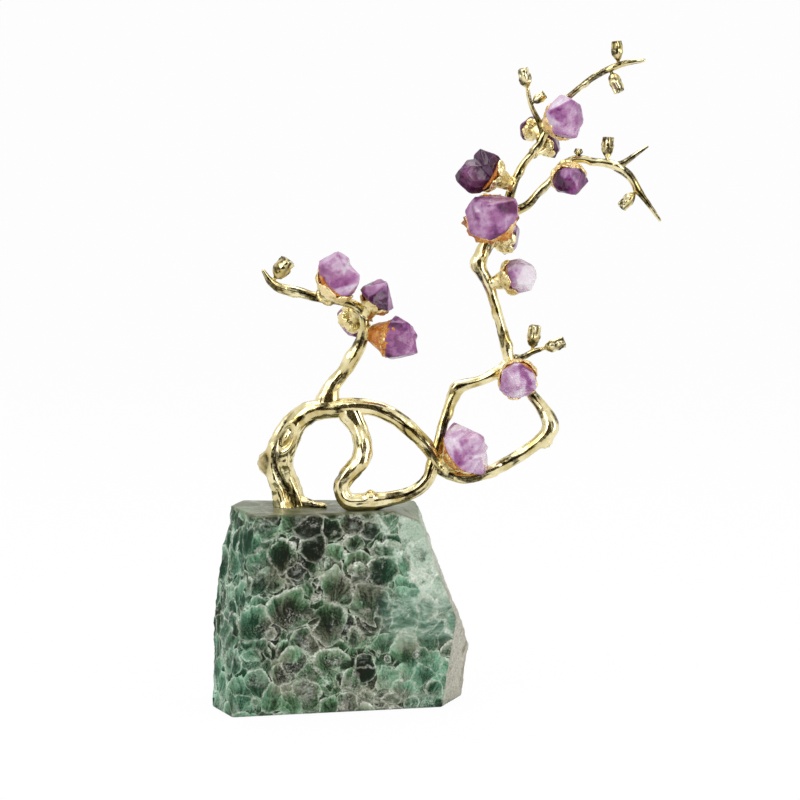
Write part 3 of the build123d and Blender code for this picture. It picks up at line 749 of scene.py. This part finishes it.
# Knots: (share of the length, angle round the branch from the viewer, height, width, length, ringed)
# Grooves: (share of the length, angle, depth)
branch_piece("trunk_arch", trunk_arch, [
    (0.185, -100, 3.3, 3.0, 3.0, False), (0.185, -100, 0.4, 2.0, 2.0, True), (0.29, -6, 1.1, 3.7, 7.4, True),
    (0.24, 40, 0.8, 3.0, 12.0, False), (0.08, -60, 0.7, 3.0, 9.0, False)],
    [(0.0, 18, 2.2), (0.08, 8, 2.4), (0.16, -12, 2.2), (0.24, -38, 2.0), (0.32, -52, 1.4),
    (0.38, -60, 0)], foot=True)
branch_piece("s_limb", s_limb, [
    (0.62, -65, 1.3, 2.8, 2.8, False), (0.62, -55, 0.6, 1.7, 1.7, True), (0.22, -30, 0.9, 2.5, 3.0, False)],
    [(0.3, 60, 0), (0.36, 80, 1.2), (0.44, 95, 1.2), (0.5, 100, 0)])
branch_piece("loop_sweep", loop_sweep, [
    (0.62, 80, 1.3, 2.4, 2.4, False), (0.62, 80, 0.5, 1.6, 1.6, True), (0.24, 70, 0.6, 1.8, 2.6, False)])
branch_piece("upper_limb", upper_limb, [
    (0.655, -90, 1.1, 2.4, 2.6, False), (0.7, 20, 0.8, 1.8, 2.0, False), (0.4, -80, 0.6, 1.6, 2.2, False),
    (0.24, 70, 0.6, 1.6, 2.4, False), (0.9, -60, 0.7, 1.7, 2.2, False)])
branch_piece("loop_riser", loop_riser, [(0.56, -70, 1.0, 2.2, 2.4, False), (0.3, 70, 0.6, 1.7, 2.4, False)])
branch_piece("top_twig", top_twig, [
    (0.14, 80, 0.6, 1.4, 2.0, False), (0.28, -60, 0.6, 1.4, 2.0, False), (0.56, -70, 0.5, 1.2, 1.8, False),
    (0.68, 70, 0.5, 1.1, 1.6, False), (0.84, 0, 0.5, 1.3, 2.2, False)])
branch_piece("right_twig", right_twig, [
    (0.14, 80, 0.6, 1.4, 2.2, False), (0.3, -80, 0.7, 1.6, 2.4, False), (0.48, 60, 0.5, 1.3, 1.8, False),
    (0.62, -20, 0.6, 1.6, 2.2, False), (0.79, 70, 0.6, 1.3, 1.8, False)])
branch_piece("left_branch", left_branch, [
    (0.2, -80, 0.8, 2.2, 3.4, False), (0.56, 60, 0.6, 1.6, 2.4, False), (0.8, -70, 0.7, 1.7, 2.4, False)])
for name, branch in (
        ("root_spur", root_spur), ("loop_spur", loop_spur), ("side_twig", side_twig),
        ("right_spur", right_spur)):
    branch_piece(name, branch)


# Blossoms

CUP_WALL = 0.9 * MM
CUP_SEAT_SINK = 0.5 * MM
GEM_VOXEL = 0.3 * MM
PETALS = 5


class Blossom:
    """An amethyst cluster in a petalled cup.

    reach goes from the branch's centre line to the stone's middle. crystals are (lean, radius, length): the
    lean is added to the cup's unit axis, and the others are over the stone's radius. tone is how dark the
    stone is, amber how far the resin runs over the cup, clear how colourless the stone's tips are, and lip
    how much further the petals close, in degrees.
    """

    def __init__(self, name, branch, share, reach, stone, crystals, tone=0.5, amber=0.1, clear=0.0, lip=0):
        self.name = name
        reach = np.array(reach) * MM
        self.stone = stone * MM
        self.crystals = crystals
        self.tone = tone
        self.amber = amber
        self.clear = clear
        self.lip = lip
        self.spill = max(2 * amber - 1, 0)
        self.middle = branch.at(share)
        self.axis = unit(reach)
        self.facing = max(-self.axis[1], 0)
        self.side = unit(np.cross(self.axis, (0, 1, 0.2)))
        self.other = np.cross(self.axis, self.side)
        self.seat = branch.radius_at(share) - CUP_SEAT_SINK
        self.rim = np.linalg.norm(reach) - 0.5 * self.stone
        self.rim_radius = 1.02 * self.stone
        self.stalk = 0.28 * self.stone
        self.bowl = self.rim - 0.72 * self.stone
        self.floor = self.bowl + CUP_WALL

    def place(self, radius, turn, height):
        """Points of the cup's own round frame, in the object's."""
        radius, turn, height = np.broadcast_arrays(radius, turn, height)
        return (
            self.middle + np.multiply.outer(height, self.axis)
            + np.multiply.outer(radius * np.cos(turn), self.side)
            + np.multiply.outer(radius * np.sin(turn), self.other))

    def cup(self):
        """A thick stalk that opens into five crusty, ribbed petals."""
        sides = 150
        turn = np.linspace(0, 2 * math.pi, sides, endpoint=False)
        start = 0.9 * len(self.name)
        petal = np.abs(np.cos(PETALS / 2 * turn)) ** 0.6
        lip = np.radians(44 + self.lip + 20 * self.facing + 32 * petal + 9 * np.cos(2 * turn + start))
        deep = self.rim - self.bowl
        wide = self.rim_radius - self.stalk
        rings = []
        for height in np.linspace(self.seat - 0.6 * MM, self.bowl, 10):
            part = (height - self.seat) / (self.bowl - self.seat)
            foot = 0.4 * math.exp(-(height - self.seat) / MM)
            rings.append((self.stalk * (1 + foot + 0.9 * max(part, 0)), turn, height))
        for part in np.linspace(0.2, 1, 26):
            bend = part * lip
            ribs = 1 + 0.03 * part * np.cos(15 * turn + start)
            rings.append((self.stalk + (wide * np.sin(bend) + 0.9 * self.stalk * (1 - part)) * ribs, turn, (
                self.rim - deep * np.cos(bend))))
        inner_deep = self.rim - self.floor
        inner_wide = self.rim_radius - CUP_WALL
        rings.append((rings[-1][0] - 0.4 * CUP_WALL, turn, rings[-1][2] + 0.5 * CUP_WALL))
        for part in np.linspace(0.98, 0.08, 10):
            bend = part * lip
            rings.append((inner_wide * np.sin(bend), turn, self.rim - inner_deep * np.cos(bend)))
        points = np.vstack([self.place(*ring) for ring in rings])
        piece = add_mesh("petals_" + self.name, points, ring_faces(len(rings), sides))
        grains = noise(points, 1.5 * MM, 5)
        lumps = noise(points, 3.4 * MM, 6)
        crust = 0.32 * MM * grains + 0.5 * MM * lumps
        move_points(piece, points + normals_of(piece) * crust[:, None])
        height = (points - self.middle) @ self.axis
        paint_points(piece, "patina_and_dark_reflection", np.clip(-0.9 * grains - 0.9 * lumps - 0.35, 0, 0.8))
        soaked = np.clip(1.5 * (height - self.bowl) / deep + 2 * self.amber - 1, 0, 1)
        paint_points(piece, "amber", self.amber * soaked)
        finish_piece(piece, "cup_brass", cup_brass, "cup_" + self.name)

    def gem(self):
        """The cluster, as one skin round its crystals, drawn in where it stands in the cup."""
        heart = self.middle + self.axis * (self.rim - 0.25 * self.stone)
        growth = 1.24 - 0.11 * self.facing
        points, faces, planes = [], [], []
        for lean, radius, length in self.crystals:
            way = unit(self.axis + lean)
            corners, sides = crystal(way, growth * radius * self.stone, length * self.stone)
            hull = bmesh.new()
            for p in corners:
                hull.verts.new(p + heart)
            bmesh.ops.convex_hull(hull, input=hull.verts)
            used = [v for v in hull.verts if v.link_faces]
            number = {v: len(points) + i for i, v in enumerate(used)}
            points += [tuple(v.co) for v in used]
            faces += [tuple(number[v] for v in f.verts) for f in hull.faces]
            hull.free()
            planes.append(sides)
        piece = remeshed(add_mesh("crystals_" + self.name, points, faces), GEM_VOXEL)
        skin = points_of(piece)
        least = np.full(len(skin), 1.0)
        # Painted facet light: a random brightness for each crystal plane, given to the skin points nearest
        # that plane
        painted_facet_light = np.zeros(len(skin))
        for sides in planes:
            outside = (skin - heart) @ np.array([way for way, _ in sides]).T - [far for _, far in sides]
            shades = rng.uniform(-1, 1, len(sides))
            nearest = outside.max(axis=1)
            painted_facet_light = np.where(nearest < least, shades[outside.argmax(axis=1)], painted_facet_light)
            least = np.minimum(least, nearest)
        painted_facet_light = eased(piece, painted_facet_light, 14)
        skin = np.column_stack([eased(piece, skin[:, k], 6) for k in range(3)])
        uneven = 0.16 * MM * noise(skin, 3.5 * MM, 7) + 0.04 * MM * noise(skin, 1.2 * MM, 8)
        skin = skin + normals_of(piece) * uneven[:, None]
        height = (skin - self.middle) @ self.axis
        stem = self.middle + np.outer(height, self.axis)
        inside = self.rim_radius - CUP_WALL
        sunk = np.clip((self.rim - height) / (self.rim - self.floor), 0, 0.999)
        flare = self.rim - (0.3 - 0.3 * self.facing - 0.012 * self.lip) * self.stone
        room = 0.95 * inside * np.sqrt(1 - sunk**2) + 1.5 * np.maximum(height - flare, 0)
        wide = np.linalg.norm(skin - stem, axis=1)
        tight = np.minimum(1, room / np.maximum(wide, 1e-6))
        skin = stem + (skin - stem) * tight[:, None]
        move_points(piece, skin)
        rise = height - height.min()
        paint_points(piece, "rise", rise / rise.max())
        paint_points(piece, "painted_facet_light", painted_facet_light * min(0.35 + 1.2 * self.tone, 1))
        paint_points(piece, "tone", np.full(len(skin), self.tone))
        paint_points(piece, "clear", np.full(len(skin), self.clear))
        finish_piece(piece, "amethyst", amethyst, "amethyst_" + self.name)

    def resin(self):
        """Rings of the resin bed, which swells up in beads between stone and petals, or spills over them."""
        turn = np.linspace(0, 2 * math.pi, 120, endpoint=False)
        inside = self.rim_radius - CUP_WALL
        deep = self.rim - self.floor
        rings = []
        for part, bend in zip((0, 0.3, 0.6, 0.9), np.radians((15, 30, 45, 62))):
            outer = self.stalk * 1.5 * (1 - part) + (0.95 + 0.25 * self.facing) * self.rim_radius * part
            lower = (self.seat + MM) * (1 - part) + (self.rim - 0.2 * self.stone) * part
            wide = 0.97 * inside * np.sin(bend) * (1 - self.spill) + outer * self.spill
            high = (self.rim - 0.97 * deep * np.cos(bend)) * (1 - self.spill) + lower * self.spill
            rings.append((wide, turn, high))
        for bend in np.linspace(0, math.pi, 14):
            wide = 0.9 + 0.09 * math.cos(bend) - 0.18 * max(bend - 2, 0)
            rise = (0.06 + 0.14 * self.amber) * math.sin(bend) - 0.25 + 0.25 * self.facing
            rings.append((wide * inside, turn, self.rim + rise * self.stone))
        points = np.vstack([self.place(*ring) for ring in rings])
        beads = (0.2 + 0.3 * self.amber) * MM * noise(points, 1.7 * MM, 9)
        beads += 0.25 * MM * noise(points, 4 * MM, 10)
        stem = self.middle + np.outer((points - self.middle) @ self.axis, self.axis)
        lumps = self.spill * (0.12 * noise(points, 1.9 * MM, 18) + 0.1 * noise(points, 4 * MM, 19))
        return points + self.axis * beads[:, None] + (points - stem) * lumps[:, None], len(rings), len(turn)


def corners_of(planes):
    """The corners of the room inside some planes, given as (outward direction, distance)."""
    normals = np.array([p[0] for p in planes])
    depths = np.array([p[1] for p in planes])
    found = []
    for a in range(len(planes)):
        for b in range(a):
            for c in range(b):
                three = normals[[a, b, c]]
                if abs(np.linalg.det(three)) < 1e-4:
                    continue
                spot = np.linalg.solve(three, depths[[a, b, c]])
                if np.all(normals @ spot <= depths + 1e-9):
                    found.append(spot)
    return np.array(found)


def crystal(way, radius, length):
    """Corners and planes of a six-sided point with uneven faces and chipped edges."""
    front, side = across(way)
    spin = rng.uniform(0, math.pi / 3)
    planes = [(-way, 0.3 * length)]
    for k in range(6):
        turn = spin + k * math.pi / 3 + rng.uniform(-0.2, 0.2)
        out = math.cos(turn) * front + math.sin(turn) * side
        planes.append((out, radius * rng.uniform(0.85, 1.02)))
        slope = math.radians(rng.uniform(40, 58))
        tilted = math.cos(slope) * way + math.sin(slope) * out
        planes.append((tilted, length * math.cos(slope) * rng.uniform(0.92, 1.15)))
    whole = corners_of(planes)
    middle = whole.mean(axis=0)
    for _ in range(12):
        chip = unit(rng.normal(size=3) + 0.1 * way)
        reach = ((whole - middle) @ chip).max() * rng.uniform(0.83, 0.96)
        planes.append((chip, middle @ chip + reach))
    return corners_of(planes), planes


BLOSSOMS = [
    Blossom("left_front", left_branch, 0.65, (9, -11.5, 12.2), 9.8, [
        ((0.4, -0.1, -0.5), 0.72, 1.5), ((-0.62, 0, 0.6), 0.58, 1.65)], 0.38, 0.35),
    Blossom("left_upper", left_branch, 0.41, (8, -4, 12.3), 7.6, [
        ((0, -0.2, 0), 0.96, 1.6), ((-0.35, 0, 0.3), 0.55, 1.5)], 0.84, 0.15),
    Blossom("left_lower", left_branch, 0.345, (18.5, -4.5, -4), 9.0, [
        ((0.1, -0.1, -0.45), 0.84, 1.6), ((-0.1, -0.1, 0.5), 0.76, 1.45)], 0.6, 1, lip=-24),
    Blossom("left_rear", left_branch, 0.45, (-5, 11.5, -6), 7.0, [
        ((0, 0, 0), 0.88, 1.5), ((-0.5, 0, 0.2), 0.5, 1.35)], 0.7, 0.1, lip=16),
    Blossom("loop_low", trunk_arch, 0.948, (14, -9, 12), 10.0, [
        ((0, -0.2, 0), 1.34, 1.5), ((0.4, 0, -0.3), 1.0, 1.4)], 0.2, 0.85, lip=-18),
    Blossom("loop_high", upper_limb, 0.1, (1.8, -15.5, -2.5), 8.8, [
        ((0, 0, 0), 0.92, 1.5), ((0.5, 0, -0.1), 0.64, 1.4)], 0.36, 0.55),
    Blossom("stem_side", upper_limb, 0.55, (15.5, -4, 4.5), 7.9, [
        ((0, -0.1, 0), 0.82, 1.7), ((0.1, 0, 0.45), 0.5, 1.4)], 0.4, 0.15, 1.0),
    Blossom("stem_rear", upper_limb, 0.78, (10.6, 10, 0.8), 7.0, [
        ((0, 0, 0.2), 0.8, 1.5), ((-0.2, 0, -0.5), 0.5, 1.4)], 0.75, 0.1),
    Blossom("stem_front", upper_limb, 0.83, (-3, -16.5, 10.6), 11.0, [
        ((0, 0, -0.1), 0.95, 1.5), ((-0.4, 0, -0.25), 0.6, 1.4)], 0.62, 1),
    Blossom("fork_left", top_twig, 0.07, (-16, -6, 8.3), 9.0, [
        ((-0.15, 0, -0.5), 0.64, 2.05), ((0.35, -0.2, 0.6), 0.6, 1.5)], 1.2, 0.12, lip=-12),
    Blossom("crown_front", top_twig, 0.4, (9.2, -14, 4.7), 8.8, [
        ((0, 0, 0.6), 0.88, 1.7), ((0.1, 0, -0.9), 0.84, 1.55)], 0.38, 0.6),
    Blossom("crown_rear_left", top_twig, 0.335, (-5.5, 12, 5.4), 5.3, [
        ((0, 0, 0), 0.85, 1.5), ((-0.5, 0, -0.1), 0.5, 1.4)], 0.75, 0.1),
    Blossom("crown_rear_low", top_twig, 0.25, (9.5, 8, 4.5), 5.3, [
        ((0, 0, 0), 0.85, 1.5), ((0.1, 0, -0.5), 0.5, 1.4)], 0.7, 0.1),
    Blossom("right_hanging", right_twig, 0.33, (1.5, -9.5, -9.2), 7.7, [
        ((0.15, 0, 0), 0.88, 1.5), ((-0.4, 0, 0), 0.6, 1.4)], 0.9, 0.5),
]

bed_points, bed_faces = [], []
for blossom in BLOSSOMS:
    blossom.cup()
    blossom.gem()
    points, rings, sides = blossom.resin()
    bed_faces += ring_faces(rings, sides, len(bed_points))
    bed_points += list(points)
finish_piece(add_mesh("resin_beads", bed_points, bed_faces), "amber_resin", amber_resin, "resin_beds")


# Buds

BUD_SEAT_SINK = 0.3 * MM
BUD_STALK = 0.75 * MM


def bud_rings(branch, share, direction, length, radius):
    """A barrel-shaped bud with grooves and a blunt, slightly open top."""
    sides = 30
    middle = branch.at(share)
    way = branch.along(1) if share == 1 else unit(direction)
    seat = 0 if share == 1 else max(branch.radius_at(share) - BUD_SEAT_SINK, 0)
    length, radius = 1.06 * length * MM, 1.15 * radius * MM
    front, side = across(way)
    turn = np.linspace(0, 2 * math.pi, sides, endpoint=False)
    profile = [
        (BUD_STALK * 1.15, -0.5 * MM), (BUD_STALK, 0.1 * length), (0.62 * radius, 0.2 * length),
        (0.9 * radius, 0.35 * length),
        (radius, 0.52 * length), (0.96 * radius, 0.7 * length), (0.86 * radius, 0.84 * length),
        (0.84 * radius, 0.93 * length),
        (0.86 * radius, 0.98 * length), (0.74 * radius, length), (0.5 * radius, 0.97 * length),
        (0.2 * radius, 0.93 * length)]
    steps = np.linspace(0, len(profile) - 1, 34)
    wide = np.interp(steps, range(len(profile)), [p[0] for p in profile])
    high = np.interp(steps, range(len(profile)), [p[1] for p in profile])
    rings, groove_patina_and_shade = [], []
    for step, r, h in zip(steps, wide, high):
        # Darker in the grooves as patina, and painted shade inside the open top, whose rings come after step
        # 9.6
        groove = 1 + 0.1 * np.cos(5 * turn + 0.4) * min(max(h / length, 0), 1)
        groove_patina_and_shade.append(np.clip(0.9 * (step > 9.6) + 1.8 * (1 - groove) / 0.1 - 0.3, 0, 0.95))
        spot = middle + way * (seat + h)
        wave = r * groove
        rings.append(spot + np.outer(wave * np.cos(turn), front) + np.outer(wave * np.sin(turn), side))
    points = np.vstack(rings)
    out = points - (middle + np.outer((points - middle) @ way, way))
    points = points + out * (0.2 * noise(points, 1.8 * MM, 12))[:, None]
    # Painted dark reflections: patches of patina colour over the bud
    dark_reflection_mask = np.clip((noise(points, 2.8 * MM, 21) - 0.02) / 0.15, 0, 0.95)
    return points, len(wide), sides, np.maximum(np.concatenate(groove_patina_and_shade), dark_reflection_mask)


BUDS = {
    "left_bud": [(left_branch, 0.92, (0.6, -0.1, 0.8), 10.5, 3.3)],
    "loop_buds": [(loop_spur, 0.55, (0.1, -0.1, 1), 10.5, 2.6), (loop_spur, 1, None, 10, 2.4)],
    "side_twig_buds": [(side_twig, 1, None, 9, 2.4), (side_twig, 0.6, (1, 0, 0.7), 6.5, 1.9)],
    "top_twig_buds": [(top_twig, 0.865, (-0.1, 0, 1), 9, 2.2), (top_twig, 0.82, (0.4, -0.2, -1), 9.5, 2.4)],
    "right_twig_buds": [
        (right_twig, 0.56, (0.05, 0, 1), 9.5, 2.4), (right_twig, 0.79, (-0.8, -0.2, -0.8), 9, 2.2),
        (right_twig, 0.4, (0.1, 0, 1), 3, 1.6)],
}
for name, buds in BUDS.items():
    points, faces, shades = [], [], []
    for bud in buds:
        some, rings, sides, groove_patina_and_shade = bud_rings(*bud)
        faces += ring_faces(rings, sides, len(points))
        points += list(some)
        shades += list(groove_patina_and_shade)
    piece = add_mesh(name + "_cast", points, faces)
    paint_points(piece, "patina_and_dark_reflection", shades)
    finish_piece(piece, "bud_brass", bud_brass, name)


# Stone block

STONE_VOXEL = 0.9 * MM
block = bpy.data.objects.new("stone_block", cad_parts["stone_base"].data.copy())
bpy.context.scene.collection.objects.link(block)
remeshed(block, STONE_VOXEL)
skin, out = points_of(block), normals_of(block)
end = np.clip((np.abs(out[:, 0]) - 0.45) / 0.4, 0, 1) + np.clip((out[:, 1] - 0.5) / 0.4, 0, 1)
broken = noise(skin, 14 * MM, 13) * 1.0 + noise(skin, 5 * MM, 14) * 0.6 + noise(skin, 2 * MM, 15) * 0.3
soft = noise(skin, 24 * MM, 16) * 0.25
skin = skin + out * ((np.minimum(end, 1) * (broken - 0.6) + soft) * MM)[:, None]
skin[:, 2] = np.where(points_of(block)[:, 2] < 0.6 * MM, points_of(block)[:, 2], skin[:, 2])
move_points(block, skin)
paint_points(block, "broken", np.minimum(end, 1))
paint_points(block, "top", np.clip((out[:, 2] - 0.35) / 0.4, 0, 1))
finish_piece(block, "green_stone", green_stone, "stone_base")

for name in ("anchor_stud", "anchor_pin"):
    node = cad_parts[name]
    node.data.materials.clear()
    node.data.materials.append(steel.material)


# Stage, light and camera

def lit_white(name, colour, glow):
    """A pale stage surface that takes shadows and looks white to the camera and in reflections."""
    made = Recipe(name)
    made.set(colour=colour, rough=0.9)
    white = made.node("ShaderNodeEmission", {}, {"Color": (1, 1, 1, 1), "Strength": 1.0}).outputs[0]
    both = made.blend(made.times(made.seen(), glow), made.shader.outputs[0], white)
    made.feed(made.tree.nodes["Material Output"].inputs["Surface"], both)
    return made.material


FLOOR_REACH = 6.0
FLOOR_DROP = 0.0002  # keeps the floor clear of the stone's underside
BEND_FROM = 1.5  # where the floor starts to rise behind the object
sweep = [(-FLOOR_REACH, -FLOOR_DROP), (BEND_FROM, -FLOOR_DROP)]
for t in np.linspace(0.1, math.pi / 2, 16):
    sweep.append((BEND_FROM + math.sin(t), 1 - math.cos(t) - FLOOR_DROP))
sweep.append((BEND_FROM + 1, 4))
floor = add_mesh(
    "floor", [(x, y, z) for y, z in sweep for x in (-FLOOR_REACH, FLOOR_REACH)],
    [(2 * i, 2 * i + 1, 2 * i + 3, 2 * i + 2) for i in range(len(sweep) - 1)])
floor.data.materials.append(lit_white("pale_floor", (0.9, 0.9, 0.9, 1), 0.96))

card_recipe = Recipe("dark_card")
card_recipe.set(colour=(0.05, 0.036, 0.01, 1), rough=1.0)


def dark_card(name, middle, wide, high):
    """A dark card out of the picture, which only shows as the dark streaks in polished metal."""
    x, y, z = middle
    card = add_mesh(name, [
        (x - wide / 2, y, z - high / 2), (x + wide / 2, y, z - high / 2), (x + wide / 2, y, z + high / 2),
        (x - wide / 2, y, z + high / 2)], [(0, 1, 2, 3)], False)
    card.data.materials.append(card_recipe.material)
    for kind in ("camera", "diffuse", "transmission", "volume_scatter", "shadow"):
        setattr(card, "visible_" + kind, False)


dark_card("card_front", (0.05, -0.8, 0.36), 0.85, 0.72)


def softbox(name, place, target, wide, high, power):
    light = bpy.data.lights.new(name, "AREA")
    light.shape = "RECTANGLE"
    light.size = wide
    light.size_y = high
    light.energy = power
    made = bpy.data.objects.new(name, light)
    made.location = place
    made.rotation_euler = (Vector(target) - Vector(place)).to_track_quat("-Z", "Y").to_euler()
    bpy.context.scene.collection.objects.link(made)


middle = (0.03, 0.0, 0.14)
softbox("key_box", (-0.75, -0.8, 0.9), middle, 0.8, 1.0, 7)
softbox("fill_box", (0.9, -0.7, 0.5), middle, 0.6, 1.0, 5)
softbox("top_box", (0.0, 0.25, 1.2), middle, 1.1, 0.8, 7)

world = bpy.data.worlds.new("studio")
bpy.context.scene.world = world
world.use_nodes = True
world.node_tree.nodes.clear()
sky = Nodes(world.node_tree)
ambient = sky.node("ShaderNodeBackground", {}, {"Color": (0.5, 0.5, 0.5, 1)}).outputs[0]
white = sky.node("ShaderNodeBackground", {}, {"Color": (1, 1, 1, 1)}).outputs[0]
sky.node("ShaderNodeOutputWorld", {}, {"Surface": sky.blend(sky.seen(), ambient, white)})

bpy.context.scene.view_settings.view_transform = "Standard"

CAMERA_PLACE = Vector((0.0267, -1.49094, 0.30310))
CAMERA_TARGET = Vector((0.0267, 0.0, 0.1385))
lens = bpy.data.cameras.new("camera")
lens.sensor_width = 36
lens.lens = 151.685
camera = bpy.data.objects.new("camera", lens)
camera.location = CAMERA_PLACE
camera.rotation_euler = (CAMERA_TARGET - CAMERA_PLACE).to_track_quat("-Z", "Y").to_euler()
bpy.context.scene.collection.objects.link(camera)
bpy.context.scene.camera = camera
